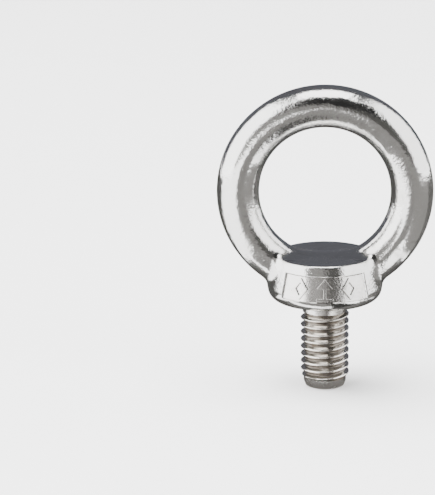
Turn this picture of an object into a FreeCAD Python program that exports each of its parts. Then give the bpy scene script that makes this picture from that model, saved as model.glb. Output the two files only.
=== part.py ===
"""Lifting eye bolt: a round eye on a tapered shoulder collar, with a right-hand M8 shank.

Frame: millimetres, +Z up. The origin is the centre of the collar's flat bearing face, the shank
points down -Z, the eye lies in the XZ plane and the marking panel faces -Y.

The real bolt is one forging. It is divided at its feature boundaries into nodes that meet face to
face: eye_ring, collar, marking_panel, panel_marks, shank_neck, threaded_shank and shank_point.
"""
import FreeCAD, Part
import math
import os

import Sketcher

Vector = FreeCAD.Vector

SIZES = {
    # eye
    "eye_bend_radius": 14.15,
    "eye_section": 6.9,
    "eye_tip_gap": 4.3,
    "eye_sweep": 338,
    "root_flare": 1.8,
    # collar
    "collar_height": 7.53,
    "collar_top_radius": 8.05,
    "collar_base_radius": 9.93,
    "collar_top_edge": 0.35,
    "collar_lower_edge": 2.0,
    # marking panel, sunk in the collar's front
    "panel_low": 1.8,
    "panel_high": 5.85,
    "panel_sweep": 96,
    "panel_depth": 0.32,
    "panel_thickness": 0.15,
    # raised marks on the panel
    "mark_rise": 0.28,
    "mark_stroke": 0.42,
    "mark_width": 2.7,
    "mark_tall": 3.5,
    "mark_turn": 27,
    "mark_start": 6.0,
    "mark_reach": 5.0,
    # shank
    "neck_diameter": 7.0,
    "neck_length": 2.1,
    "neck_fillet": 0.4,
    "neck_root_depth": 1.0,
    "thread_diameter": 8.0,
    "thread_pitch": 1.25,
    "thread_length": 11.3,
    "thread_phase": 0.52,
    "thread_turn": 120,
    "point_length": 1.5,
    "point_chamfer": 0.3,
    "point_chamfer_rise": 0.8,
}

THREAD_DEPTH_IN_PITCHES = 0.6134
GROOVE_MOUTH_IN_PITCHES = 0.875
GROOVE_OVERCUT = 0.3
CREST_ARCS = 12
MARK_COUNT = 3


class Dim:
    """A size worked out from the sheet: its value now and the expression that keeps it bound."""

    def __init__(self, value, text):
        self.value = value
        self.text = text

    def _join(self, other, sign, swap=False):
        if not isinstance(other, Dim):
            other = Dim(other, repr(other))
        left, right = (other, self) if swap else (self, other)
        results = {
            "+": lambda: left.value + right.value,
            "-": lambda: left.value - right.value,
            "*": lambda: left.value * right.value,
            "/": lambda: left.value / right.value,
        }
        return Dim(results[sign](), f"({left.text} {sign} {right.text})")

    def __add__(self, other):
        return self._join(other, "+")

    def __radd__(self, other):
        return self._join(other, "+", swap=True)

    def __sub__(self, other):
        return self._join(other, "-")

    def __rsub__(self, other):
        return self._join(other, "-", swap=True)

    def __mul__(self, other):
        return self._join(other, "*")

    def __rmul__(self, other):
        return self._join(other, "*", swap=True)

    def __truediv__(self, other):
        return self._join(other, "/")

    def __neg__(self):
        return 0 - self

    def root(self):
        """Square root of this size."""
        return Dim(math.sqrt(self.value), f"sqrt({self.text})")


def make_sheet(doc):
    """Write the driving sizes to the sheet and return them as bound sizes, by name."""
    sheet = doc.addObject("Spreadsheet::Sheet", "sizes")
    dims = {}
    for row, (name, value) in enumerate(SIZES.items(), start=1):
        sheet.set(f"A{row}", name)
        sheet.set(f"B{row}", str(value))
        sheet.setAlias(f"B{row}", name)
        dims[name] = Dim(float(value), f"sizes.{name}")
    doc.recompute()
    return dims


def bind(thing, prop, dim):
    """Bind one property to a size."""
    thing.setExpression(prop, dim.text if isinstance(dim, Dim) else repr(dim))


def new_body(doc, label, height=None):
    """A body with its own label, placed at a height along the bolt's axis."""
    body = doc.addObject("PartDesign::Body", label)
    body.Label = label
    if height is not None:
        bind(body, "Placement.Base.z", height)
    return body


def new_sketch(body, name, plane):
    """An empty sketch on one of the body's own origin planes."""
    sketch = body.newObject("Sketcher::SketchObject", name)
    support = next(f for f in body.Origin.OriginFeatures if f.Role == plane)
    sketch.AttachmentSupport = (support, "")
    sketch.MapMode = "FlatFace"
    return sketch


def constrain(sketch, dim, *constraint):
    """Add one dimension to a sketch and bind it to a size."""
    index = sketch.addConstraint(Sketcher.Constraint(*constraint, dim.value))
    bind(sketch, f"Constraints[{index}]", dim)


def pin_point(sketch, edge, end, along, up):
    """Hold one point of a sketch at two sizes from the origin; a plain 0 keeps it on the axis."""
    for kind, place, axis in (("DistanceX", along, -2), ("DistanceY", up, -1)):
        if isinstance(place, Dim):
            constrain(sketch, place, kind, -1, 1, edge, end)
        else:
            sketch.addConstraint(Sketcher.Constraint("PointOnObject", edge, end, axis))


def outline(sketch, corners):
    """Draw a closed outline of straight edges through corners.

    Each corner is (along, up) or (along, up, radius). A radius rounds that corner.
    """
    places = [[p.value if isinstance(p, Dim) else p for p in corner[:2]] for corner in corners]
    first = sketch.GeometryCount
    count = len(corners)
    for i, start in enumerate(places):
        end = places[(i + 1) % count]
        sketch.addGeometry(Part.LineSegment(Vector(*start, 0), Vector(*end, 0)), False)
    for i in range(count):
        following = first + (i + 1) % count
        sketch.addConstraint(Sketcher.Constraint("Coincident", first + i, 2, following, 1))
    for i, corner in enumerate(corners):
        pin_point(sketch, first + i, 1, corner[0], corner[1])
    for i, corner in enumerate(corners):
        if len(corner) == 3:
            arc = sketch.GeometryCount
            sketch.fillet(first + i, 1, corner[2].value, True, True)
            constrain(sketch, corner[2], "Radius", arc)


def revolve(body, name, sketch, kind="PartDesign::Revolution", angle=360, axis="V_Axis"):
    """Turn a sketch about one of its axes, evenly to both sides when it isn't a full turn."""
    turned = body.newObject(kind, name)
    turned.Profile = sketch
    turned.ReferenceAxis = (sketch, [axis])
    if isinstance(angle, Dim):
        turned.Midplane = True
        bind(turned, "Angle", angle)
    else:
        turned.Angle = angle
    body.Document.recompute()
    return turned


def edge_names(shape, wanted):
    """The names of a shape's edges that pass a test."""
    return [f"Edge{i}" for i, edge in enumerate(shape.Edges, start=1) if wanted(edge)]


def side_radius(size, up):
    """Radius of the collar's tapered side at a height above the bearing face."""
    fall = size["collar_base_radius"] - size["collar_top_radius"]
    return size["collar_base_radius"] - fall * up / size["collar_height"]


def drum_sketch(body, size, name):
    """Half outline of the collar drum, with both rims rounded."""
    sketch = new_sketch(body, name, "XZ_Plane")
    outline(sketch, [
        (0, 0),
        (size["collar_base_radius"], 0, size["collar_lower_edge"]),
        (size["collar_top_radius"], size["collar_height"], size["collar_top_edge"]),
        (0, size["collar_height"]),
    ])
    return sketch


def panel_band(body, size, name, inner_depth, outer_depth):
    """Outline of a band that follows the collar's front between two depths below its side."""
    low = size["panel_low"]
    high = size["panel_high"]
    sketch = new_sketch(body, name, "YZ_Plane")
    outline(sketch, [
        (outer_depth - side_radius(size, low), low),
        (inner_depth - side_radius(size, low), low),
        (inner_depth - side_radius(size, high), high),
        (outer_depth - side_radius(size, high), high),
    ])
    return sketch


def build_eye_ring(doc, size):
    """The eye: a swept round section, flared where it leaves the drum, with the drum taken away."""
    body = new_body(doc, "eye_ring")
    bend = size["eye_bend_radius"]
    section = size["eye_section"] / 2
    inside = bend - section
    half_gap = size["eye_tip_gap"] / 2
    centre = size["collar_height"] + (inside * inside - half_gap * half_gap).root()

    sketch = new_sketch(body, "eye_section", "YZ_Plane")
    sketch.addGeometry(
        Part.Circle(Vector(0, (centre + bend).value, 0), Vector(0, 0, 1), section.value), False)
    sketch.addConstraint(Sketcher.Constraint("PointOnObject", 0, 3, -2))
    constrain(sketch, centre + bend, "DistanceY", -1, 1, 0, 3)
    constrain(sketch, section, "Radius", 0)
    left = Vector(-section.value, centre.value, 0)
    right = Vector(section.value, centre.value, 0)
    sketch.addGeometry(Part.LineSegment(left, right), True)
    pin_point(sketch, 1, 1, -section, centre)
    pin_point(sketch, 1, 2, section, centre)
    revolve(body, "eye_sweep_turn", sketch, angle=size["eye_sweep"], axis="Axis0")

    joined = revolve(body, "root_drum", drum_sketch(body, size, "root_drum_outline"))
    flare = body.newObject("PartDesign::Fillet", "root_flares")
    meeting = edge_names(joined.Shape, lambda edge: isinstance(edge.Curve, Part.BSplineCurve))
    flare.Base = (joined, meeting)
    bind(flare, "Radius", size["root_flare"])
    doc.recompute()

    revolve(body, "collar_seat", drum_sketch(body, size, "collar_seat_outline"),
            kind="PartDesign::Groove")
    return body


def build_collar(doc, size):
    """The shoulder collar: a drum with the neck's seat below and the panel's pocket in front."""
    body = new_body(doc, "collar")
    revolve(body, "drum", drum_sketch(body, size, "drum_outline"))
    seat = new_sketch(body, "neck_seat_outline", "XZ_Plane")
    seat_radius = size["neck_diameter"] / 2 + size["neck_fillet"]
    depth = size["neck_root_depth"]
    outline(seat, [(0, 0), (seat_radius, 0), (seat_radius, depth), (0, depth)])
    revolve(body, "neck_seat", seat, kind="PartDesign::Groove")
    pocket_depth = size["panel_depth"] + size["panel_thickness"]
    pocket = panel_band(body, size, "panel_pocket_outline", pocket_depth, -size["panel_depth"])
    revolve(body, "panel_pocket", pocket, kind="PartDesign::Groove", angle=size["panel_sweep"])
    return body


def build_marking_panel(doc, size):
    """The as-cast floor of the pocket, a thin curved plate."""
    body = new_body(doc, "marking_panel")
    depth = size["panel_depth"]
    plate = panel_band(body, size, "plate_outline", depth + size["panel_thickness"], depth)
    revolve(body, "plate", plate, angle=size["panel_sweep"])
    return body


def arrow_outline(sketch, size):
    """An arrow that points up from a short bar."""
    stroke = size["mark_stroke"]
    wide = size["mark_width"] / 2
    low = (size["panel_low"] + size["panel_high"] - size["mark_tall"]) / 2
    top = low + size["mark_tall"]
    head = top - size["mark_tall"] * 0.45
    shaft = stroke / 2
    outline(sketch, [
        (-wide, low), (wide, low), (wide, low + stroke), (shaft, low + stroke), (shaft, head),
        (wide, head), (0, top), (-wide, head), (-shaft, head), (-shaft, low + stroke),
        (-wide, low + stroke),
    ])


def diamond_outline(sketch, size):
    """A diamond drawn as an even band."""
    middle = (size["panel_low"] + size["panel_high"]) / 2
    wide = size["mark_width"] / 2
    tall = size["mark_tall"] / 2
    band = size["mark_stroke"] * (wide * wide + tall * tall).root() / tall
    for across in (wide, wide - band):
        up = across * tall / wide
        outline(sketch, [(-across, middle), (0, middle - up), (across, middle), (0, middle + up)])


def build_panel_marks(doc, size):
    """Three raised marks: prisms cut to a shell that follows the panel."""
    shell = new_body(doc, "mark_shell")
    depth = size["panel_depth"]
    band = panel_band(shell, size, "shell_outline", depth, depth - size["mark_rise"])
    revolve(shell, "shell", band, angle=size["panel_sweep"])

    prisms = []
    for label, draw, turn in (
        ("left_mark", diamond_outline, -size["mark_turn"]),
        ("middle_mark", arrow_outline, None),
        ("right_mark", diamond_outline, size["mark_turn"]),
    ):
        body = new_body(doc, label)
        if turn is not None:
            body.Placement.Rotation.Axis = Vector(0, 0, 1)
            bind(body, "Placement.Rotation.Angle", turn)
        sketch = new_sketch(body, f"{label}_outline", "XZ_Plane")
        bind(sketch, "AttachmentOffset.Base.z", size["mark_start"])
        draw(sketch, size)
        pad = body.newObject("PartDesign::Pad", f"{label}_prism")
        pad.Profile = sketch
        bind(pad, "Length", size["mark_reach"])
        prisms.append(body)

    prism_set = doc.addObject("Part::MultiFuse", "mark_prisms")
    prism_set.Shapes = prisms
    marks = doc.addObject("Part::Common", "panel_marks")
    marks.Label = "panel_marks"
    marks.Base = shell
    marks.Tool = prism_set
    return marks


def build_shank_neck(doc, size):
    """The plain neck: its root sits in the collar and flares to it with a small fillet."""
    body = new_body(doc, "shank_neck")
    radius = size["neck_diameter"] / 2
    fillet = size["neck_fillet"]
    length = size["neck_length"]
    depth = size["neck_root_depth"]
    sketch = new_sketch(body, "neck_outline", "XZ_Plane")
    outline(sketch, [
        (0, -length), (radius, -length), (radius, -fillet), (radius + fillet, 0),
        (radius + fillet, depth), (0, depth),
    ])
    revolve(body, "neck", sketch)

    relief = new_sketch(body, "root_fillet_outline", "XZ_Plane")
    middle = Vector((radius + fillet).value, -fillet.value, 0)
    relief.addGeometry(Part.Circle(middle, Vector(0, 0, 1), fillet.value), False)
    pin_point(relief, 0, 3, radius + fillet, -fillet)
    constrain(relief, fillet, "Radius", 0)
    revolve(body, "root_fillet", relief, kind="PartDesign::Groove")
    return body


def build_threaded_shank(doc, size):
    """Right-hand thread: a plain rod, chamfered at both ends, with a helical groove cut in it."""
    body = new_body(doc, "threaded_shank")
    turn = FreeCAD.Rotation(Vector(0, 0, 1), size["thread_turn"].value)
    body.Placement = FreeCAD.Placement(Vector(0, 0, 0), turn)
    bind(body, "Placement.Base.z", -size["neck_length"])
    radius = size["thread_diameter"] / 2
    pitch = size["thread_pitch"]

    rod_sketch = new_sketch(body, "rod_outline", "XY_Plane")
    step = math.tau / CREST_ARCS
    circle = Part.Circle(Vector(0, 0, 0), Vector(0, 0, 1), radius.value)
    for i in range(CREST_ARCS):
        rod_sketch.addGeometry(Part.ArcOfCircle(circle, i * step, (i + 1) * step), False)
        rod_sketch.addConstraint(Sketcher.Constraint("Coincident", i, 3, -1, 1))
    for i in range(CREST_ARCS):
        following = (i + 1) % CREST_ARCS
        rod_sketch.addConstraint(Sketcher.Constraint("Coincident", i, 2, following, 1))
    constrain(rod_sketch, radius, "Radius", 0)
    rod = body.newObject("PartDesign::Pad", "rod")
    rod.Profile = rod_sketch
    rod.Reversed = True
    rod.Refine = False
    bind(rod, "Length", size["thread_length"])
    doc.recompute()

    run_in = body.newObject("PartDesign::Chamfer", "thread_run_ins")
    run_in.Base = (rod, edge_names(rod.Shape, lambda edge: edge.BoundBox.ZLength < 1e-6))
    bind(run_in, "Size", radius - size["neck_diameter"] / 2)
    run_in.Refine = False
    doc.recompute()

    groove = new_sketch(body, "groove_outline", "XZ_Plane")
    start = size["thread_phase"] + pitch
    depth = pitch * THREAD_DEPTH_IN_PITCHES
    slope = math.tan(math.radians(30))
    mouth = pitch * GROOVE_MOUTH_IN_PITCHES / 2
    root = mouth - depth * slope
    outer = mouth + GROOVE_OVERCUT * slope
    outline(groove, [
        (radius - depth, start - root), (radius + GROOVE_OVERCUT, start - outer),
        (radius + GROOVE_OVERCUT, start + outer), (radius - depth, start + root),
    ])
    doc.recompute()
    helix = body.newObject("PartDesign::SubtractiveHelix", "thread_groove")
    helix.Profile = groove
    helix.ReferenceAxis = (groove, ["V_Axis"])
    helix.Mode = "pitch-height-angle"
    helix.Angle = 0
    helix.Growth = 0
    helix.LeftHanded = False
    helix.Reversed = True
    helix.Refine = False
    bind(helix, "Pitch", pitch)
    bind(helix, "Height", start + size["thread_length"] + pitch)
    return body


def build_shank_point(doc, size):
    """The plain land below the thread, with a chamfer and a flat end face."""
    body = new_body(doc, "shank_point", -size["neck_length"] - size["thread_length"])
    radius = size["neck_diameter"] / 2
    length = size["point_length"]
    end_radius = radius - size["point_chamfer"]
    sketch = new_sketch(body, "point_outline", "XZ_Plane")
    outline(sketch, [
        (0, 0), (radius, 0), (radius, size["point_chamfer_rise"] - length), (end_radius, -length),
        (0, -length),
    ])
    revolve(body, "point", sketch)
    return body


def check_document(doc, nodes):
    """Stop if any object failed, or if a node's shape is broken or has a solid too many or few."""
    for thing in doc.Objects:
        if "Invalid" in thing.State or "Error" in thing.State:
            raise RuntimeError(f"{thing.Label} failed: {thing.State}")
    for node in nodes:
        shape = node.Shape
        if shape.isNull() or not shape.isValid() or not shape.Solids:
            raise RuntimeError(f"{node.Label} has no valid solid")
        wanted = MARK_COUNT if node.Label == "panel_marks" else 1
        if len(shape.Solids) != wanted:
            raise RuntimeError(f"{node.Label} has {len(shape.Solids)} solids, not {wanted}")


def main():
    """Build every node, check the document and write one STEP file per node."""
    doc = FreeCAD.newDocument("eye_bolt")
    size = make_sheet(doc)
    builders = (
        build_eye_ring, build_collar, build_marking_panel, build_panel_marks,
        build_shank_neck, build_threaded_shank, build_shank_point,
    )
    nodes = [build(doc, size) for build in builders]
    doc.recompute()
    check_document(doc, nodes)
    os.makedirs("parts", exist_ok=True)
    for node in nodes:
        node.Shape.exportStep(f"parts/{node.Label}.step")
        print(f"{node.Label}: {len(node.Shape.Solids)} solid, {node.Shape.Volume:.2f} mm3")


main()
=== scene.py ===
"""The looks of a forged steel lifting eye bolt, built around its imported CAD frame."""

import logging
import math
from dataclasses import dataclass
from enum import Enum
from typing import Callable

import bpy
import numpy as np
from mathutils import Matrix, Vector


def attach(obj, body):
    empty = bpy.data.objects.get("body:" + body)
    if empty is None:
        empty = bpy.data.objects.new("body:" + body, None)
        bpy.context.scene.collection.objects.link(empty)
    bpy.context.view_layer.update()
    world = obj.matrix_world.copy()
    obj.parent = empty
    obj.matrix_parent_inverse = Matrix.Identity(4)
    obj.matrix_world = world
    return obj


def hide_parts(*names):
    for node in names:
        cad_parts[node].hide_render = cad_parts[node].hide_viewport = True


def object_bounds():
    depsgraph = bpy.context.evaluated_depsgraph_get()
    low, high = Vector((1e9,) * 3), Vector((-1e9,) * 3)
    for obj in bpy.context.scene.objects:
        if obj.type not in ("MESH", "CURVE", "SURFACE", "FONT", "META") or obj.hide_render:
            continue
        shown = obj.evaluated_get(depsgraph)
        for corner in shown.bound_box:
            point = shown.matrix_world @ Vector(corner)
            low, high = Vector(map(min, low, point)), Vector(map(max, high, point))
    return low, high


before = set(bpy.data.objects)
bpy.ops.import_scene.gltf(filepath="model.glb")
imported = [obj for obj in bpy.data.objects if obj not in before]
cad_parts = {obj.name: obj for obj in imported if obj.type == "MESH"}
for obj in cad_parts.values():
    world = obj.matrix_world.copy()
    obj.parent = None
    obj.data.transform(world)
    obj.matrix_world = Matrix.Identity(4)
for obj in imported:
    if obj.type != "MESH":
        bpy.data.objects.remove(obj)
CAD_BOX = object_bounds()

MM = 0.001
SKIN_TOLERANCE = 0.004 * MM
LOG = logging.getLogger("eye_bolt")

Points = np.ndarray
Distance = Callable[[Points], Points]
Colour = tuple[float, float, float]


# ---------------------------------------------------------------- shader expressions


class Shade:
    """A socket of a material's node tree that can be used in arithmetic."""

    def __init__(self, bench: "Bench", socket: bpy.types.NodeSocket) -> None:
        """Keeps the socket and the bench whose tree it belongs to.

        Args:
            bench: the bench that adds nodes to the tree.
            socket: the output socket that this value stands for.
        """
        self.bench = bench
        self.socket = socket

    def _math(self, operation: str, first: object, second: object = None) -> "Shade":
        """Adds one Math node.

        Args:
            operation: the node's operation.
            first: its first value, a number or a Shade.
            second: its second value, if the operation takes one.

        Returns:
            The node's result.
        """
        values = {0: first} if second is None else {0: first, 1: second}
        return self.bench.node("ShaderNodeMath", {"operation": operation}, values, "Value")

    def __add__(self, other: object) -> "Shade":
        """Sum of this value and another."""
        return self._math("ADD", self, other)

    def __radd__(self, other: object) -> "Shade":
        """Sum of a number and this value."""
        return self._math("ADD", other, self)

    def __sub__(self, other: object) -> "Shade":
        """This value less another."""
        return self._math("SUBTRACT", self, other)

    def __rsub__(self, other: object) -> "Shade":
        """A number less this value."""
        return self._math("SUBTRACT", other, self)

    def __mul__(self, other: object) -> "Shade":
        """Product of this value and another."""
        return self._math("MULTIPLY", self, other)

    def __rmul__(self, other: object) -> "Shade":
        """Product of a number and this value."""
        return self._math("MULTIPLY", other, self)

    def __truediv__(self, other: object) -> "Shade":
        """This value over another."""
        return self._math("DIVIDE", self, other)

    def __pow__(self, other: object) -> "Shade":
        """This value to a power."""
        return self._math("POWER", self, other)

    def above(self, low: float, high: float) -> "Shade":
        """A soft step that rises from 0 at one level to 1 at another.

        Args:
            low: the level at which the step starts.
            high: the level at which the step is complete.

        Returns:
            The step, from 0 to 1.
        """
        settings = {"interpolation_type": "SMOOTHSTEP", "clamp": True}
        values = {"Value": self, "From Min": low, "From Max": high}
        return self.bench.node("ShaderNodeMapRange", settings, values, "Result")


class Bench:
    """Where one material is put together: its node tree and the ways to add to it."""

    def __init__(self, name: str) -> None:
        """Starts an empty material.

        Args:
            name: the material's name.
        """
        self.material = bpy.data.materials.new(name)
        self.material.use_nodes = True
        self.tree = self.material.node_tree
        self.shader = self.tree.nodes["Principled BSDF"]

    def node(self, kind: str, settings: dict, values: dict, result: str) -> Shade:
        """Adds a node of any kind.

        Args:
            kind: the node's type.
            settings: its own properties, set before its sockets.
            values: numbers, colours or Shades for its input sockets.
            result: the name of the output socket wanted.

        Returns:
            The named output.
        """
        made = self.tree.nodes.new(kind)
        for name, value in settings.items():
            setattr(made, name, value)
        for name, value in values.items():
            self.give(made.inputs[name], value)
        enabled = [socket for socket in made.outputs if socket.name == result and socket.enabled]
        return Shade(self, enabled[0])

    def give(self, socket: bpy.types.NodeSocket, value: object) -> None:
        """Sets an input socket to a value, or links a Shade to it.

        Args:
            socket: the input socket.
            value: a number, a colour or a Shade.
        """
        if isinstance(value, Shade):
            self.tree.links.new(value.socket, socket)
        else:
            socket.default_value = value

    def set(self, name: str, value: object) -> None:
        """Sets or links one socket of the material's shader."""
        self.give(self.shader.inputs[name], value)

    def place(self) -> Shade:
        """The point's place on the piece, in metres."""
        return self.node("ShaderNodeTexCoord", {}, {}, "Object")

    def stretched(self, scale: tuple[float, float, float]) -> Shade:
        """The point's place with each direction scaled.

        Args:
            scale: a factor for each direction.

        Returns:
            The scaled place.
        """
        values = {"Vector": self.place(), "Scale": scale}
        return self.node("ShaderNodeMapping", {}, values, "Vector")

    def noise(self, size: float, detail: float = 2.0, where: Shade | None = None) -> Shade:
        """Soft cloudy noise.

        Args:
            size: the width of its blotches, in metres.
            detail: how many finer layers it has.
            where: the place it is read at, the piece's own by default.

        Returns:
            The noise, from 0 to 1.
        """
        values = {"Vector": where or self.place(), "Scale": 1.0 / size, "Detail": detail}
        return self.node("ShaderNodeTexNoise", {}, values, "Fac")

    def pits(self, size: float) -> Shade:
        """Distance to the nearest of many scattered points.

        Args:
            size: how far apart the points are, in metres.

        Returns:
            The distance, as a share of the spacing.
        """
        values = {"Vector": self.place(), "Scale": 1.0 / size}
        return self.node("ShaderNodeTexVoronoi", {}, values, "Distance")

    def tint(self, share: Shade, first: tuple, second: tuple) -> Shade:
        """A colour between two others.

        Args:
            share: how much of the second colour shows, from 0 to 1.
            first: the colour at 0.
            second: the colour at 1.

        Returns:
            The mixed colour.
        """
        mix = self.tree.nodes.new("ShaderNodeMix")
        mix.data_type = "RGBA"
        self.give(mix.inputs[0], share)
        self.give(mix.inputs[6], first)
        self.give(mix.inputs[7], second)
        return Shade(self, mix.outputs[2])

    def bump(self, height: Shade, depth: float) -> Shade:
        """A normal bent by a height.

        Args:
            height: the height, from 0 to 1.
            depth: the height's full range, in metres.

        Returns:
            The bent normal.
        """
        values = {"Height": height, "Strength": 1.0, "Distance": depth}
        return self.node("ShaderNodeBump", {}, values, "Normal")


# ---------------------------------------------------------------- finishes


class Surface(Enum):
    """How a face of the bolt was left by its maker, with the name of its material."""

    POLISHED = "polished_steel"
    CAST = "cast_panel_steel"
    ROLLED = "rolled_thread_steel"
    TURNED = "turned_steel"


@dataclass(frozen=True)
class SteelFinish:
    """Bare stainless steel: tone, gloss, waviness, grain, pits, machining lines and painted shade in
    thread roots.
    """

    surface: Surface
    tone: tuple[float, float, float, float] = (0.66, 0.655, 0.64, 1.0)
    stain: tuple[float, float, float, float] = (0.42, 0.40, 0.38, 1.0)
    stain_size: float = 2.4 * MM
    stain_share: float = 0.35
    roughness: float = 0.10
    roughness_range: float = 0.08
    wave_size: float = 1.7 * MM
    wave_depth: float = 0.060 * MM
    grain_size: float = 0.38 * MM
    grain_depth: float = 0.046 * MM
    pit_spacing: float = 0.9 * MM
    pit_depth: float = 0.010 * MM
    line_pitch: float = 0.0
    line_depth: float = 0.0
    # painted shade for the thread roots: its colour and the radii where it starts and where it is
    # full
    painted_root_shade: tuple[float, float, float, float] = (0.2, 0.17, 0.14, 1.0)
    painted_root_shade_from: float = 0.0
    painted_root_shade_full: float = 0.0

    def stains(self, bench: Bench) -> Shade:
        """Where the steel is duller: cloudy patches broken up by fine specks.

        Args:
            bench: the bench of the material.

        Returns:
            The share of the stain, from 0 to 1.
        """
        clouds = bench.noise(self.stain_size, 4.0).above(0.48, 0.72)
        specks = bench.noise(self.grain_size * 2.0, 3.0).above(0.50, 0.66)
        return (clouds * 0.55 + specks * clouds * 0.45 + specks * 0.20) * self.stain_share

    def height(self, bench: Bench) -> Shade:
        """The relief of the surface in metres, times a thousand.

        Args:
            bench: the bench of the material.

        Returns:
            The relief, in millimetres.
        """
        waves = bench.noise(self.wave_size, 2.0) * (self.wave_depth / MM)
        coarse = bench.noise(self.stain_size * 2.2, 2.0).above(0.40, 0.62) * 0.85 + 0.15
        grain = bench.noise(self.grain_size, 2.0) * coarse * (self.grain_depth / MM)
        pits = bench.pits(self.pit_spacing).above(0.04, 0.16) * (self.pit_depth / MM)
        relief = waves + grain + pits
        if self.line_pitch:
            rings = bench.stretched((0.02, 0.02, 1.0))
            relief = relief + bench.noise(self.line_pitch, 2.0, rings) * (self.line_depth / MM)
        return relief

    def painted_root_shade_share(self, bench: Bench) -> Shade:
        """How much painted shade darkens the thread's roots, from the distance to the shank's axis.

        Args:
            bench: the bench of the material.

        Returns:
            The share of the painted shade, from 0 to 1.
        """
        values = {0: bench.stretched((1.0, 1.0, 0.0))}
        settings = {"operation": "LENGTH"}
        radius = bench.node("ShaderNodeVectorMath", settings, values, "Value")
        patchy = bench.noise(self.stain_size, 3.0) * 0.5 + 0.6
        return (1.0 - radius.above(self.painted_root_shade_full, self.painted_root_shade_from)) * patchy

    def material(self) -> bpy.types.Material:
        """Makes the material.

        Returns:
            The finished material.
        """
        bench = Bench(self.surface.value)
        stains = self.stains(bench)
        smears = bench.noise(self.stain_size * 1.7, 3.0)
        colour = bench.tint(stains, self.tone, self.stain)
        roughness = self.roughness + smears * self.roughness_range + stains * 0.15
        # painted shade: the thread roots are darkened and roughened where the grooves lie in shade
        if self.painted_root_shade_from:
            painted_root_shade = self.painted_root_shade_share(bench)
            colour = bench.tint(painted_root_shade, colour, self.painted_root_shade)
            roughness = roughness + painted_root_shade * 0.25
        bench.set("Metallic", 1.0)
        bench.set("Base Color", colour)
        bench.set("Roughness", roughness)
        bench.set("Normal", bench.bump(self.height(bench), MM))
        return bench.material


POLISHED = SteelFinish(Surface.POLISHED)
CAST = SteelFinish(
    Surface.CAST, tone=(0.65, 0.635, 0.615, 1.0), roughness=0.15, roughness_range=0.14,
    grain_size=0.34 * MM, grain_depth=0.045 * MM, wave_size=0.9 * MM, wave_depth=0.020 * MM,
    pit_spacing=0.6 * MM, pit_depth=0.012 * MM, stain_share=0.5,
)
ROLLED = SteelFinish(
    Surface.ROLLED, tone=(0.72, 0.69, 0.645, 1.0), stain=(0.40, 0.36, 0.32, 1.0), roughness=0.11,
    roughness_range=0.10, wave_size=1.2 * MM, wave_depth=0.020 * MM, line_pitch=0.10 * MM,
    line_depth=0.0025 * MM, stain_size=1.1 * MM, grain_depth=0.012 * MM,
    # painted shade in the thread roots, from a radius of 3.50 mm inwards
    painted_root_shade=(0.09, 0.07, 0.05, 1.0), painted_root_shade_from=3.50 * MM, painted_root_shade_full=3.26 * MM,
)
TURNED = SteelFinish(
    Surface.TURNED, tone=(0.67, 0.65, 0.62, 1.0), roughness=0.20, roughness_range=0.10,
    line_pitch=0.08 * MM, line_depth=0.004 * MM, stain_size=1.4 * MM,
)


# ---------------------------------------------------------------- mesh work


def only(piece: bpy.types.Object) -> None:
    """Makes one object the only selected and the active one."""
    bpy.ops.object.select_all(action="DESELECT")
    piece.select_set(True)
    bpy.context.view_layer.objects.active = piece


def fresh(name: str) -> bpy.types.Object:
    """Names the primitive that was just added.

    Args:
        name: the piece's name.

    Returns:
        The new object.
    """
    piece = bpy.context.object
    piece.name = name
    piece.data.name = name
    return piece


def points_of(mesh: bpy.types.Mesh) -> Points:
    """The mesh's vertices as rows of x, y, z."""
    flat = np.empty(len(mesh.vertices) * 3)
    mesh.vertices.foreach_get("co", flat)
    return flat.reshape(-1, 3)


def move_points(mesh: bpy.types.Mesh, points: Points) -> None:
    """Gives the mesh's vertices new places."""
    mesh.vertices.foreach_set("co", points.ravel())
    mesh.update()


def settle_in_place(piece: bpy.types.Object) -> None:
    """Puts an object's place, turn and size into its mesh."""
    only(piece)
    bpy.ops.object.transform_apply(location=True, rotation=True, scale=True)


def finish_modifier(piece: bpy.types.Object, kind: str, **settings: object) -> None:
    """Adds a modifier and applies it at once.

    Args:
        piece: the object.
        kind: the modifier's type.
        settings: the modifier's properties.
    """
    only(piece)
    modifier = piece.modifiers.new(kind.lower(), kind)
    for name, value in settings.items():
        setattr(modifier, name, value)
    bpy.ops.object.modifier_apply(modifier=modifier.name)


def tidy_mesh(piece: bpy.types.Object, distance: float = 1e-6) -> None:
    """Merges doubled vertices, clears slivers and turns all faces outwards.

    Args:
        piece: the object.
        distance: how near two vertices are when they count as one, in metres.
    """
    only(piece)
    bpy.ops.object.mode_set(mode="EDIT")
    bpy.ops.mesh.select_all(action="SELECT")
    bpy.ops.mesh.remove_doubles(threshold=distance)
    bpy.ops.mesh.dissolve_degenerate(threshold=distance)
    bpy.ops.mesh.delete_loose()
    bpy.ops.mesh.select_all(action="SELECT")
    bpy.ops.mesh.normals_make_consistent(inside=False)
    bpy.ops.object.mode_set(mode="OBJECT")


def spun(name: str, section: list[tuple[float, float]], steps: int = 160) -> bpy.types.Object:
    """Turns a closed section about the vertical axis.

    Args:
        name: the piece's name.
        section: corners of the section as (radius, height) in metres, in order.
        steps: how many faces there are around the axis.

    Returns:
        The turned piece.
    """
    bpy.ops.object.select_all(action="DESELECT")
    bpy.ops.mesh.primitive_circle_add(vertices=len(section), radius=MM)
    piece = fresh(name)
    move_points(piece.data, np.array([(radius, 0.0, height) for radius, height in section]))
    bpy.ops.object.mode_set(mode="EDIT")
    bpy.ops.mesh.select_all(action="SELECT")
    bpy.ops.mesh.spin(steps=steps, angle=math.tau, center=(0, 0, 0), axis=(0, 0, 1))
    bpy.ops.object.mode_set(mode="OBJECT")
    tidy_mesh(piece)
    return piece


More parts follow.
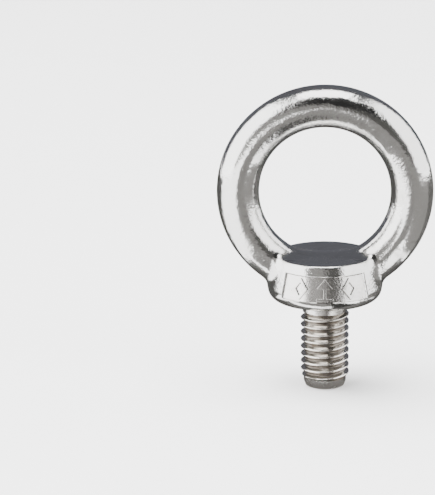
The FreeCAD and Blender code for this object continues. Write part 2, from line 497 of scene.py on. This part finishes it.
def arc(centre: tuple[float, float], radius: float, start: float, end: float,
        steps: int) -> list[tuple[float, float]]:
    """Corners along an arc of a section.

    Args:
        centre: the arc's centre as (radius, height).
        radius: the arc's own radius.
        start: the first angle in degrees, 0 being outwards and 90 up.
        end: the last angle in degrees.
        steps: the number of pieces the arc is cut into.

    Returns:
        The corners, both ends included.
    """
    angles = [math.radians(start + (end - start) * step / steps) for step in range(steps + 1)]
    return [(centre[0] + radius * math.cos(a), centre[1] + radius * math.sin(a)) for a in angles]


def smooth_all(piece: bpy.types.Object, angle: float | None = None) -> None:
    """Shades a piece smoothly.

    Args:
        piece: the object.
        angle: the sharpest corner that is still smoothed, in degrees, or None for all.
    """
    only(piece)
    if angle is None:
        bpy.ops.object.shade_smooth()
    else:
        bpy.ops.object.shade_smooth_by_angle(angle=math.radians(angle))


def slope(distance: Distance, points: Points) -> Points:
    """The direction in which a distance grows fastest, as unit rows.

    Args:
        distance: the distance function.
        points: rows of x, y, z in metres.

    Returns:
        One unit row for each point.
    """
    step = 1e-6
    rows = np.empty_like(points)
    for axis in range(3):
        nudge = np.zeros(3)
        nudge[axis] = step
        rows[:, axis] = distance(points + nudge) - distance(points - nudge)
    return rows / np.maximum(np.linalg.norm(rows, axis=1, keepdims=True), 1e-12)


def fall_onto(distance: Distance, points: Points, rounds: int = 8) -> Points:
    """Moves points to where a distance is zero.

    Args:
        distance: the distance function.
        points: rows of x, y, z in metres.
        rounds: how many times each point is moved.

    Returns:
        The points on the surface.
    """
    for _ in range(rounds):
        points = points - slope(distance, points) * distance(points)[:, None]
    return points


# ---------------------------------------------------------------- the forged head


@dataclass(frozen=True)
class DrumShape:
    """The shoulder collar: a cone's frustum with a rounded rim and foot."""

    height: float = 7.53 * MM
    top_radius: float = 8.05 * MM
    base_radius: float = 9.93 * MM
    rim: float = 0.45 * MM
    foot: float = 2.0 * MM

    @property
    def lean(self) -> float:
        """How far the side leans in from upright, in radians."""
        return math.atan2(self.base_radius - self.top_radius, self.height)

    def side(self, height: float) -> float:
        """The straight side's radius at a height."""
        return self.base_radius - height * math.tan(self.lean)

    def distance(self, points: Points) -> Points:
        """Distance to the collar's surface, negative inside.

        Args:
            points: rows of x, y, z in metres.

        Returns:
            One distance for each point.
        """
        out = np.hypot(points[:, 0], points[:, 1])
        up = points[:, 2]
        side_out = math.cos(self.lean)
        side_up = math.sin(self.lean)
        side = (out - self.base_radius) * side_out + up * side_up
        flat = np.maximum(np.maximum(side, up - self.height), -up)
        for radius, level, facing in ((self.rim, self.height, 1.0), (self.foot, 0.0, -1.0)):
            centre_up = level - facing * radius
            centre_out = self.base_radius - (radius + centre_up * side_up) / side_out
            away_out = out - centre_out
            away_up = up - centre_up
            past_flat = away_out > 0
            past_side = facing * (away_up * side_out - away_out * side_up) > 0
            rounded = np.hypot(away_out, away_up) - radius
            flat = np.where(past_flat & past_side, rounded, flat)
        return flat


@dataclass(frozen=True)
class EyeShape:
    """The eye: a round bar bent to a circle that stands on the collar."""

    bend: float = 14.15 * MM
    bar: float = 3.45 * MM
    tip_gap: float = 4.3 * MM
    seat: float = 7.53 * MM

    @property
    def centre(self) -> float:
        """Height of the eye's centre above the bearing face."""
        inside = self.bend - self.bar
        return self.seat + math.sqrt(inside ** 2 - (self.tip_gap / 2) ** 2)

    def distance(self, points: Points) -> Points:
        """Distance to the bar's surface, negative inside.

        Args:
            points: rows of x, y, z in metres.

        Returns:
            One distance for each point.
        """
        around = np.hypot(points[:, 0], points[:, 2] - self.centre) - self.bend
        return np.hypot(around, points[:, 1]) - self.bar


@dataclass(frozen=True)
class MarkPanel:
    """The sunk panel on the collar's front, with three plain raised marks."""

    low: float = 1.8 * MM
    high: float = 5.85 * MM
    sweep: float = 96.0
    depth: float = 0.32 * MM
    backing: float = 0.10 * MM
    lip: float = 0.10 * MM
    taper: float = 0.16 * MM
    overshoot: float = 0.4 * MM
    rise: float = 0.28 * MM
    stroke: float = 0.42 * MM
    mark_width: float = 2.7 * MM
    mark_tall: float = 3.5 * MM
    mark_turn: float = 27.0
    voxel: float = 0.055 * MM

    @property
    def middle(self) -> float:
        """Height of the panel's middle."""
        return (self.low + self.high) / 2

    def wrapped(self, drum: DrumShape, flat: Points) -> Points:
        """Bends flat work round the collar's side.

        Args:
            drum: the collar that the work lies on.
            flat: rows of turn in radians, height and outward offset.

        Returns:
            Rows of x, y, z in metres.
        """
        turn, up, out = flat[:, 0], flat[:, 1], flat[:, 2]
        radius = drum.base_radius - up * math.tan(drum.lean) + out * math.cos(drum.lean)
        height = up + out * math.sin(drum.lean)
        return np.stack([radius * np.sin(turn), -radius * np.cos(turn), height], axis=1)

    def slab(
            self, name: str, drum: DrumShape, levels: list[tuple[float, float]]) -> bpy.types.Object:
        """A closed curved slab that follows the collar.

        Args:
            name: the piece's name.
            drum: the collar.
            levels: (outward offset, growth of the outline) from the inner to the outer skin.

        Returns:
            The slab.
        """
        bpy.ops.object.select_all(action="DESELECT")
        bpy.ops.mesh.primitive_grid_add(x_subdivisions=96, y_subdivisions=16, size=2)
        piece = fresh(name)
        bpy.ops.object.mode_set(mode="EDIT")
        for level in range(1, len(levels)):
            bpy.ops.mesh.select_all(action="DESELECT")
            bpy.ops.object.mode_set(mode="OBJECT")
            for polygon in piece.data.polygons:
                polygon.select = polygon.normal.z > 0.5 and polygon.center.z > level - 1.5
            bpy.ops.object.mode_set(mode="EDIT")
            bpy.ops.mesh.extrude_region_move(TRANSFORM_OT_translate={"value": (0, 0, 1)})
        bpy.ops.object.mode_set(mode="OBJECT")
        grid = points_of(piece.data)
        step = np.clip(np.rint(grid[:, 2]).astype(int), 0, len(levels) - 1)
        out = np.array([level[0] for level in levels])[step]
        grow = np.array([level[1] for level in levels])[step]
        half_turn = math.radians(self.sweep) / 2 + grow / drum.side(self.middle)
        half_tall = (self.high - self.low) / 2 + grow
        flat = np.stack([grid[:, 0] * half_turn, self.middle + grid[:, 1] * half_tall, out], axis=1)
        move_points(piece.data, self.wrapped(drum, flat))
        tidy_mesh(piece, 1e-7)
        return piece

    def cutter(self, drum: DrumShape) -> bpy.types.Object:
        """The tool that sinks the panel, with a chamfer that breaks its rim."""
        over = self.overshoot
        levels = [
            (-self.depth - self.backing, -self.taper), (-self.lip, 0.0), (over, self.lip + over),
        ]
        return self.slab("panel_cutter", drum, levels)

    def floor(self, drum: DrumShape) -> bpy.types.Object:
        """The as-forged floor of the panel."""
        bottom = -self.depth - self.backing + 0.01 * MM
        levels = [(bottom, -self.taper), (-self.depth, -0.10 * MM)]
        return self.slab("marking_panel_floor", drum, levels)

    def mark_blocks(self, diamond: bool) -> bpy.types.Object:
        """One mark, flat, a millimetre deep, centred on the origin.

        Args:
            diamond: whether it is a diamond, or else an arrow on a bar.

        Returns:
            The flat mark as one closed mesh.
        """
        bpy.ops.object.select_all(action="DESELECT")
        wide = self.mark_width / 2
        tall = self.mark_tall / 2
        bpy.ops.mesh.primitive_cylinder_add(vertices=4 if diamond else 3, radius=1.0, depth=MM)
        mark = fresh("panel_mark")
        if diamond:
            mark.scale = (wide, tall, 1.0)
            settle_in_place(mark)
            self.hollow(mark, self.stroke * math.hypot(wide, tall) / tall)
            return mark
        head = self.mark_tall * 0.45
        mark.scale = (wide / math.cos(math.radians(30)), head / 1.5, 1.0)
        mark.location = (0.0, tall - head * 2 / 3, 0.0)
        settle_in_place(mark)
        for width, height, low in (
            (self.stroke, self.mark_tall - head + 0.2 * MM, -tall), (wide * 2, self.stroke, -tall),
        ):
            bpy.ops.object.select_all(action="DESELECT")
            bpy.ops.mesh.primitive_cube_add(size=1.0, location=(0.0, low + height / 2, 0.0))
            bar = fresh("panel_mark_bar")
            bar.scale = (width, height, MM)
            settle_in_place(bar)
            self.join(mark, bar)
        return mark

    def hollow(self, mark: bpy.types.Object, band: float) -> None:
        """Cuts a smaller copy out of a diamond, so that a band is left.

        Args:
            mark: the diamond.
            band: the band's width, measured across.
        """
        tool = mark.copy()
        tool.data = mark.data.copy()
        bpy.context.collection.objects.link(tool)
        share = 1.0 - band / (self.mark_width / 2)
        tool.scale = (share, share, 2.0)
        settle_in_place(tool)
        finish_modifier(mark, "BOOLEAN", operation="DIFFERENCE", object=tool, solver="EXACT")
        bpy.data.objects.remove(tool)

    @staticmethod
    def join(first: bpy.types.Object, second: bpy.types.Object) -> None:
        """Joins the second object's mesh to the first."""
        only(first)
        second.select_set(True)
        bpy.ops.object.join()

    def marks(self, drum: DrumShape) -> bpy.types.Object:
        """The three raised marks: a diamond, an arrow and a diamond.

        Args:
            drum: the collar that they stand on.

        Returns:
            One object with the three marks.
        """
        whole = None
        for place, diamond in ((-1.0, True), (0.0, False), (1.0, True)):
            mark = self.mark_blocks(diamond)
            finish_modifier(mark, "REMESH", mode="VOXEL", voxel_size=self.voxel)
            finish_modifier(mark, "SMOOTH", factor=0.5, iterations=3)
            flat = points_of(mark.data)
            turn = flat[:, 0] / drum.side(self.middle) + place * math.radians(self.mark_turn)
            rise = self.rise - self.depth
            base = -self.depth - self.backing / 2
            out = base + (flat[:, 2] / MM + 0.5) * (rise - base)
            move_points(mark.data, self.wrapped(
                drum, np.stack([turn, self.middle + flat[:, 1], out], axis=1)))
            if whole is None:
                whole = mark
            else:
                self.join(whole, mark)
        whole.name = "raised_marks"
        return whole


@dataclass(frozen=True)
class ForgedHead:
    """The eye and the collar, one forging with soft blends where the eye stands."""

    drum: DrumShape = DrumShape()
    eye: EyeShape = EyeShape()
    panel: MarkPanel = MarkPanel()
    blend: float = 1.5 * MM
    rim_blend: float = 0.6 * MM
    eye_foot: float = 2.2 * MM
    most_sides: int = 24
    voxel: float = 0.21 * MM

    def distance(self, points: Points) -> Points:
        """Distance to the blended surface of eye and collar.

        Args:
            points: rows of x, y, z in metres.

        Returns:
            One distance for each point, negative inside.
        """
        eye = self.eye.distance(points)
        drum = self.drum.distance(points)
        away = np.hypot(points[:, 0], points[:, 2] - self.eye.centre)
        ring_out = np.stack([
            points[:, 0] / away * (away - self.eye.bend), points[:, 1],
            (points[:, 2] - self.eye.centre) / away * (away - self.eye.bend)], axis=1)
        ring_out /= np.maximum(np.linalg.norm(ring_out, axis=1, keepdims=True), 1e-9)
        around = np.maximum(np.hypot(points[:, 0], points[:, 1]), 1e-9)
        lean = self.drum.lean
        over_rim = points[:, 2] - self.drum.height + self.rim_blend
        on_top = np.clip(over_rim / (2 * self.rim_blend), 0.0, 1.0)
        side_out = np.stack([points[:, 0] / around, points[:, 1] / around], axis=1)
        across = (ring_out[:, :2] * side_out).sum(axis=1) * math.cos(lean)
        side_cos = across + ring_out[:, 2] * math.sin(lean)
        cos = side_cos * (1.0 - on_top) + ring_out[:, 2] * on_top
        reach = self.blend * np.sqrt(np.clip(1.0 - cos ** 2, 0.01, 1.0))
        near = np.maximum(reach - np.abs(eye - drum), 0.0) / reach
        return np.minimum(eye, drum) - near ** 2 * reach / 4

    def rough(self) -> bpy.types.Object:
        """The head as a plain ring stuck in a cone, remeshed as one skin.

        Returns:
            The rough head.
        """
        bpy.ops.object.select_all(action="DESELECT")
        bpy.ops.mesh.primitive_cone_add(
            vertices=128, radius1=self.drum.base_radius, radius2=self.drum.top_radius,
            depth=self.drum.height, location=(0, 0, self.drum.height / 2))
        drum = fresh("collar_blank")
        settle_in_place(drum)
        bpy.ops.object.mode_set(mode="EDIT")
        bpy.ops.mesh.select_all(action="DESELECT")
        bpy.ops.object.mode_set(mode="OBJECT")
        for edge in drum.data.edges:
            edge.select = all(abs(drum.data.vertices[v].co.z) < MM / 100 for v in edge.vertices)
        bpy.ops.object.mode_set(mode="EDIT")
        bpy.ops.mesh.select_mode(type="EDGE")
        bpy.ops.mesh.bevel(offset=self.drum.foot * 0.8, segments=8, affect="EDGES")
        bpy.ops.object.mode_set(mode="OBJECT")
        bpy.ops.object.select_all(action="DESELECT")
        bpy.ops.mesh.primitive_torus_add(
            major_radius=self.eye.bend, minor_radius=self.eye.bar, major_segments=256,
            minor_segments=96, location=(0, 0, self.eye.centre), rotation=(math.pi / 2, 0, 0))
        head = fresh("forged_head")
        settle_in_place(head)
        MarkPanel.join(head, drum)
        finish_modifier(head, "REMESH", mode="VOXEL", voxel_size=self.voxel)
        finish_modifier(head, "SMOOTH", factor=0.5, iterations=6)
        return head

    def settle(self, head: bpy.types.Object) -> None:
        """Drops the rough head's vertices onto the true surface, evened out twice."""
        for _ in range(2):
            finish_modifier(head, "SMOOTH", factor=0.5, iterations=2)
            move_points(head.data, fall_onto(self.distance, points_of(head.data)))

    def true_normals(self, piece: bpy.types.Object) -> None:
        """Shades the forged skin by its true shape, and cut faces by their own.

        Args:
            piece: the eye or the collar.
        """
        smooth_all(piece)
        mesh = piece.data
        skin = slope(self.distance, points_of(mesh))
        off_skin = np.abs(self.distance(points_of(mesh))) > SKIN_TOLERANCE
        normals = np.empty((len(mesh.loops), 3))
        for polygon in mesh.polygons:
            cut = any(off_skin[vertex] for vertex in polygon.vertices)
            for loop in polygon.loop_indices:
                normals[loop] = polygon.normal if cut else skin[mesh.loops[loop].vertex_index]
        mesh.normals_split_custom_set(normals.tolist())

    def part_off(self, head: bpy.types.Object) -> bpy.types.Object:
        """Parts the eye from the collar along the middle of the blend.

        Args:
            head: the whole head, which keeps the collar.

        Returns:
            The eye.
        """
        centres = np.array([polygon.center[:] for polygon in head.data.polygons])
        nearer = self.eye.distance(centres) < self.drum.distance(centres)
        above = centres[:, 2] > self.eye_foot
        only(head)
        bpy.ops.object.mode_set(mode="EDIT")
        bpy.ops.mesh.select_mode(type="FACE")
        bpy.ops.mesh.select_all(action="DESELECT")
        bpy.ops.object.mode_set(mode="OBJECT")
        head.data.polygons.foreach_set("select", nearer & above)
        bpy.ops.object.mode_set(mode="EDIT")
        bpy.ops.mesh.separate(type="SELECTED")
        bpy.ops.object.mode_set(mode="OBJECT")
        eye = next(piece for piece in bpy.context.selected_objects if piece is not head)
        eye.name = "lifting_eye"
        eye.data.name = "lifting_eye"
        return eye

    def close(self, piece: bpy.types.Object) -> None:
        """Closes the two openings at the roots with fans hidden inside the forging."""
        only(piece)
        bpy.ops.object.mode_set(mode="EDIT")
        bpy.ops.mesh.select_mode(type="FACE")
        bpy.ops.mesh.select_all(action="SELECT")
        bpy.ops.mesh.fill_holes(sides=0)
        bpy.ops.mesh.select_all(action="DESELECT")
        bpy.ops.mesh.select_face_by_sides(number=self.most_sides, type="GREATER")
        bpy.ops.mesh.poke()
        bpy.ops.mesh.select_all(action="SELECT")
        bpy.ops.mesh.normals_make_consistent(inside=False)
        bpy.ops.object.mode_set(mode="OBJECT")

    def build(self) -> dict[str, bpy.types.Object]:
        """Builds the eye, the collar, the panel's floor and its marks.

        Returns:
            The pieces by CAD node.
        """
        head = self.rough()
        self.settle(head)
        cutter = self.panel.cutter(self.drum)
        finish_modifier(head, "BOOLEAN", operation="DIFFERENCE", object=cutter, solver="EXACT")
        bpy.data.objects.remove(cutter)
        eye = self.part_off(head)
        head.name = "shoulder_collar"
        for piece in (eye, head):
            self.close(piece)
            self.true_normals(piece)
            piece.data.materials.clear()
        floor = self.panel.floor(self.drum)
        smooth_all(floor, 30)
        marks = self.panel.marks(self.drum)
        smooth_all(marks)
        return {"eye_ring": eye, "collar": head, "marking_panel": floor, "panel_marks": marks}


# ---------------------------------------------------------------- the shank


@dataclass(frozen=True)
class Shank:
    """The plain neck, the rolled thread and the chamfered point."""

    neck_radius: float = 3.5 * MM
    neck_length: float = 2.1 * MM
    neck_fillet: float = 0.4 * MM
    root_depth: float = 0.6 * MM
    crest: float = 4.0 * MM
    pitch: float = 1.25 * MM
    depth: float = 0.767 * MM
    crest_flat: float = 0.156 * MM
    soften: float = 0.13 * MM
    groove_at: float = -2.0 * MM
    length: float = 11.3 * MM
    point_length: float = 1.5 * MM
    chamfer: float = 0.3 * MM
    chamfer_rise: float = 0.8 * MM
    broken: float = 0.06 * MM
    steps: int = 144

    @property
    def thread_end(self) -> float:
        """Height at which the thread ends."""
        return -self.neck_length - self.length

    def neck(self) -> bpy.types.Object:
        """The plain neck with the fillet under the collar."""
        fillet = self.neck_fillet
        wide = self.neck_radius + fillet
        section = [(0.0, self.root_depth), (wide, self.root_depth)]
        section += arc((wide, -fillet), fillet, 90, 180, 8)
        section += [(self.neck_radius, -self.neck_length), (0.0, -self.neck_length)]
        return spun("plain_neck", section)

    def point(self) -> bpy.types.Object:
        """The chamfered point, with its corners just broken."""
        low = self.thread_end - self.point_length
        end = self.neck_radius - self.chamfer
        broken = self.broken
        section = [
            (0.0, self.thread_end), (self.neck_radius, self.thread_end),
            (self.neck_radius, low + self.chamfer_rise + broken),
            (self.neck_radius - broken / 3, low + self.chamfer_rise - broken),
            (end + broken / 3, low + broken), (end - broken, low), (0.0, low),
        ]
        return spun("chamfered_point", section)

    def tooth(self) -> list[tuple[float, float]]:
        """One pitch of the rolled profile, from root to root.

        Returns:
            Corners as (radius, height above the middle of the root).
        """
        flank = self.depth * math.tan(math.radians(30))
        root_half = (self.pitch - self.crest_flat) / 2 - flank
        corners = []
        count = 24
        for step in range(count + 1):
            along = self.pitch * step / count
            away = min(along, self.pitch - along)
            rise = (away - root_half) / flank
            soft = self.soften / flank
            rise = math.log1p(math.exp(min(rise / soft * 4, 60))) * soft / 4
            rise = 1 - math.log1p(math.exp(min((1 - rise) / soft * 4, 60))) * soft / 4
            corners.append((self.crest - self.depth * (1 - max(rise, 0.0)), along))
        return corners

    def thread(self) -> bpy.types.Object:
        """The right-handed rolled thread, run out at both ends.

        Returns:
            The threaded part.
        """
        tooth = self.tooth()
        turns = math.ceil(self.length / self.pitch) + 2
        low = self.groove_at + self.pitch - self.pitch * turns
        bpy.ops.object.select_all(action="DESELECT")
        bpy.ops.mesh.primitive_circle_add(vertices=len(tooth), radius=MM)
        piece = fresh("rolled_thread")
        move_points(piece.data, np.array([(radius, 0.0, low + up) for radius, up in tooth]))
        bpy.ops.object.mode_set(mode="EDIT")
        bpy.ops.mesh.select_mode(type="VERT")
        bpy.ops.mesh.select_all(action="DESELECT")
        bpy.ops.object.mode_set(mode="OBJECT")
        for vertex in (piece.data.vertices[0], piece.data.vertices[-1]):
            vertex.select = True
        bpy.ops.object.mode_set(mode="EDIT")
        bpy.ops.mesh.delete(type="EDGE_FACE")
        bpy.ops.object.mode_set(mode="OBJECT")
        finish_modifier(
            piece, "SCREW", angle=math.tau, screw_offset=self.pitch, iterations=turns,
            steps=self.steps, render_steps=self.steps, axis="Z", use_merge_vertices=True,
            merge_threshold=1e-6, use_smooth_shade=True)
        tidy_mesh(piece)
        for level, above in ((-self.neck_length, True), (self.thread_end, False)):
            only(piece)
            bpy.ops.object.mode_set(mode="EDIT")
            bpy.ops.mesh.select_all(action="SELECT")
            bpy.ops.mesh.bisect(
                plane_co=(0, 0, level), plane_no=(0, 0, 1), use_fill=True, threshold=1e-7,
                clear_outer=above, clear_inner=not above)
            bpy.ops.object.mode_set(mode="OBJECT")
        self.run_out(piece)
        tidy_mesh(piece)
        return piece

    def run_out(self, piece: bpy.types.Object) -> None:
        """Trims the crests to cones at both ends of the thread."""
        points = points_of(piece.data)
        top = -self.neck_length - points[:, 2]
        bottom = points[:, 2] - self.thread_end
        cone = self.neck_radius + np.minimum(top, bottom)
        radius = np.maximum(np.hypot(points[:, 0], points[:, 1]), 1e-9)
        share = np.minimum(1.0, cone / radius)
        points[:, 0] *= share
        points[:, 1] *= share
        move_points(piece.data, points)

    def build(self) -> dict[str, bpy.types.Object]:
        """Builds the neck, the thread and the point.

        Returns:
            The pieces by CAD node.
        """
        pieces = {
            "shank_neck": self.neck(), "threaded_shank": self.thread(), "shank_point": self.point(),
        }
        for piece in pieces.values():
            smooth_all(piece, 35)
        return pieces


# ---------------------------------------------------------------- the studio


PLAIN = (1.0, 1.0, 1.0)
COOL = (0.96, 0.98, 1.12)
WARM = (1.0, 0.975, 0.94)


@dataclass(frozen=True)
class Panel:
    """A softbox or a dark flag that stands around the bolt and faces it."""

    name: str
    turn: float
    lift: float
    wide: float
    tall: float
    power: float = 0.0
    grey: float = 0.02
    tint: Colour = PLAIN
    distance: float = 0.9

    def direction(self) -> Vector:
        """Unit direction from the bolt, turn 0 being the front and 90 the right."""
        turn = math.radians(self.turn)
        lift = math.radians(self.lift)
        flat = math.cos(lift)
        return Vector((math.sin(turn) * flat, -math.cos(turn) * flat, math.sin(lift)))

    def size(self) -> tuple[float, float]:
        """Width and height in metres from the angles that it fills."""
        halves = (math.radians(self.wide) / 2, math.radians(self.tall) / 2)
        return tuple(2 * self.distance * math.tan(half) for half in halves)

    def build(self, aim: Vector) -> None:
        """Sets the panel up.

        Args:
            aim: the point that it faces.
        """
        place = aim + self.direction() * self.distance
        turn = (aim - place).to_track_quat("-Z", "Y").to_euler()
        wide, tall = self.size()
        if self.power:
            light = bpy.data.lights.new(self.name, "AREA")
            light.shape = "RECTANGLE"
            light.size = wide
            light.size_y = tall
            light.energy = self.power * wide * tall * math.pi
            lamp = bpy.data.objects.new(self.name, light)
            bpy.context.collection.objects.link(lamp)
            lamp.location = place
            lamp.rotation_euler = turn
            return
        bpy.ops.object.select_all(action="DESELECT")
        bpy.ops.mesh.primitive_plane_add(size=1.0)
        flag = fresh(self.name)
        flag.scale = (wide, tall, 1.0)
        flag.rotation_euler = turn
        flag.location = place
        settle_in_place(flag)
        reflected_only(flag, self.grey, self.tint)


@dataclass(frozen=True)
class GroundFlag:
    """A grey sheet lying on the floor that only reflections see."""

    name: str
    left: float
    right: float
    near: float
    far: float
    grey: float

    def build(self, level: float) -> None:
        """Lays the sheet.

        Args:
            level: the floor's height.
        """
        bpy.ops.object.select_all(action="DESELECT")
        middle = ((self.left + self.right) / 2, -(self.near + self.far) / 2, level + MM / 10)
        bpy.ops.mesh.primitive_plane_add(size=1.0, location=middle)
        flag = fresh(self.name)
        flag.scale = (self.right - self.left, self.far - self.near, 1.0)
        settle_in_place(flag)
        reflected_only(flag, self.grey, WARM)


def glowing_cloth(
        piece: bpy.types.Object, grey: float, tint: Colour, strength: float = 1.0) -> None:
    """Covers a piece in cloth that glows evenly and reflects nothing.

    Args:
        piece: the flag or the backdrop.
        grey: how bright it is.
        tint: a factor for each of red, green and blue.
        strength: a factor on the whole.
    """
    piece.visible_diffuse = False
    piece.visible_shadow = False
    cloth = Bench(piece.name)
    cloth.set("Base Color", (0.0, 0.0, 0.0, 1.0))
    cloth.set("Specular IOR Level", 0.0)
    cloth.set("Emission Color", tuple(grey * share for share in tint) + (1.0,))
    cloth.set("Emission Strength", strength)
    piece.data.materials.append(cloth.material)


def reflected_only(flag: bpy.types.Object, grey: float, tint: Colour) -> None:
    """Makes a flag an even grey that is seen in reflections and nowhere else.

    Args:
        flag: the flag.
        grey: how bright it is.
        tint: a factor for each of red, green and blue.
    """
    flag.visible_camera = False
    glowing_cloth(flag, grey, tint)


@dataclass(frozen=True)
class Studio:
    """A pale floor, soft light from all round, dark flags and the camera."""

    floor_level: float
    floor_gap: float = 0.03 * MM
    floor_size: float = 5.0
    dome_radius: float = 2.2
    dome_glow: float = 2.6
    aim_height: float = 12.58 * MM
    camera_distance: float = 360.0 * MM
    camera_lift: float = 14.7
    lens: float = 160.23
    bolt_right: float = 17.54 * MM
    bolt_up: float = 3.9 * MM
    sky: float = 0.22
    wash: float = 7.6
    panels: tuple[Panel, ...] = (
        Panel("softbox_left", turn=-74, lift=20, wide=80, tall=80, power=5.6),
        Panel("softbox_top", turn=0, lift=83, wide=40, tall=44, power=6.4),
        Panel("softbox_right", turn=84, lift=20, wide=84, tall=80, power=4.0),
        Panel("flag_back", turn=180, lift=26, wide=120, tall=90, grey=0.15, tint=COOL),
        Panel("flag_front_top", turn=8, lift=40, wide=60, tall=44, grey=0.03),
        Panel("flag_front_right", turn=22, lift=4, wide=36, tall=46, grey=0.13, tint=WARM),
        Panel("flag_front_left", turn=-14, lift=2, wide=52, tall=48, grey=0.42, tint=WARM),
    )
    ground_flags: tuple[GroundFlag, ...] = (
        GroundFlag("ground_front", left=-0.03, right=0.003, near=0.017, far=0.95, grey=0.40),
        GroundFlag("ground_dark", left=0.003, right=0.020, near=0.009, far=0.06, grey=0.08),
        GroundFlag("ground_mid", left=0.003, right=0.034, near=0.06, far=0.95, grey=0.40),
        GroundFlag("ground_right", left=0.034, right=0.6, near=-0.25, far=0.95, grey=0.45),
        GroundFlag("ground_foot", left=-0.03, right=0.03, near=0.0, far=0.009, grey=0.26),
        GroundFlag("ground_under", left=-0.03, right=0.03, near=-0.012, far=0.0, grey=0.16),
        GroundFlag("ground_back", left=-0.5, right=0.5, near=-0.9, far=-0.012, grey=0.12),
    )

    def floor(self) -> None:
        """Lays the pale floor at the point's end."""
        bpy.ops.object.select_all(action="DESELECT")
        bpy.ops.mesh.primitive_plane_add(
            size=self.floor_size, location=(0, 0, self.floor_level - self.floor_gap))
        floor = fresh("studio_floor")
        settle_in_place(floor)
        paper = Bench("studio_paper")
        soft = paper.noise(60 * MM, 2.0)
        paper.set("Base Color", paper.tint(soft, (0.93, 0.93, 0.93, 1), (0.90, 0.90, 0.90, 1)))
        paper.set("Roughness", 0.75 + soft * 0.1)
        floor.data.materials.append(paper.material)

    def backdrop(self) -> None:
        """Hangs a pale dome far out, which only the camera sees."""
        bpy.ops.object.select_all(action="DESELECT")
        bpy.ops.mesh.primitive_uv_sphere_add(segments=96, ring_count=48, radius=self.dome_radius)
        dome = fresh("studio_backdrop")
        smooth_all(dome)
        dome.visible_glossy = False
        glowing_cloth(dome, 0.9, PLAIN, self.dome_glow)

    def light(self) -> None:
        """Sets the sky, a wash for the floor, the softboxes and the flags."""
        world = bpy.data.worlds.new("studio_sky")
        world.use_nodes = True
        world.node_tree.nodes["Background"].inputs["Color"].default_value = (0.96, 0.98, 1, 1)
        world.node_tree.nodes["Background"].inputs["Strength"].default_value = self.sky
        bpy.context.scene.world = world
        wash = bpy.data.lights.new("floor_wash", "SUN")
        wash.energy = self.wash
        wash.angle = math.radians(60)
        lamp = bpy.data.objects.new("floor_wash", wash)
        lamp.visible_glossy = False
        lamp.rotation_euler = (math.radians(-12), math.radians(-14), 0.0)
        bpy.context.collection.objects.link(lamp)
        for panel in self.panels:
            panel.build(Vector((0, 0, self.aim_height)))
        for flag in self.ground_flags:
            flag.build(self.floor_level)

    def camera(self) -> None:
        """Puts the camera in front, a little above, with the bolt right of the middle."""
        lift = math.radians(self.camera_lift)
        target = Vector((0, 0, self.aim_height))
        back = Vector((0, -math.cos(lift), math.sin(lift)))
        right = Vector((1, 0, 0))
        up = back.cross(right)
        place = target + back * self.camera_distance
        aim = target - right * self.bolt_right - up * self.bolt_up
        away = (place - aim).normalized()
        across = up.cross(away).normalized()
        upright = away.cross(across)
        data = bpy.data.cameras.new("studio_camera")
        data.sensor_fit = "AUTO"
        data.sensor_width = 36.0
        data.lens = self.lens
        camera = bpy.data.objects.new("studio_camera", data)
        bpy.context.collection.objects.link(camera)
        turn = Matrix((across, upright, away)).transposed().to_4x4()
        camera.matrix_world = Matrix.Translation(place) @ turn
        bpy.context.scene.camera = camera

    def build(self) -> None:
        """Lays the floor, hangs the backdrop, sets the lights and places the camera."""
        self.floor()
        self.backdrop()
        self.light()
        self.camera()


# ---------------------------------------------------------------- the whole bolt


FINISH_OF = {
    "eye_ring": POLISHED, "collar": POLISHED, "marking_panel": CAST, "panel_marks": CAST,
    "shank_neck": TURNED, "threaded_shank": ROLLED, "shank_point": TURNED,
}


def dress(pieces: dict[str, bpy.types.Object], made: dict[Surface, bpy.types.Material]) -> None:
    """Gives each piece its finish, hangs it under the root body and hides the CAD node that it
    stands for.

    Args:
        pieces: the pieces by CAD node.
        made: the materials made so far, added to as needed.
    """
    for node, piece in pieces.items():
        finish = FINISH_OF[node]
        if finish.surface not in made:
            made[finish.surface] = finish.material()
        piece.data.materials.clear()
        piece.data.materials.append(made[finish.surface])
        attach(piece, "root")
        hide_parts(node)
        piece.data.calc_loop_triangles()
        LOG.info("%s: %d triangles", piece.name, len(piece.data.loop_triangles))


def main() -> None:
    """Builds the head, the shank and the studio."""
    logging.basicConfig(level=logging.INFO, format="%(name)s %(message)s")
    made: dict[Surface, bpy.types.Material] = {}
    dress(ForgedHead().build(), made)
    dress(Shank().build(), made)
    Studio(floor_level=CAD_BOX[0][2]).build()


if __name__ == "__main__":
    main()
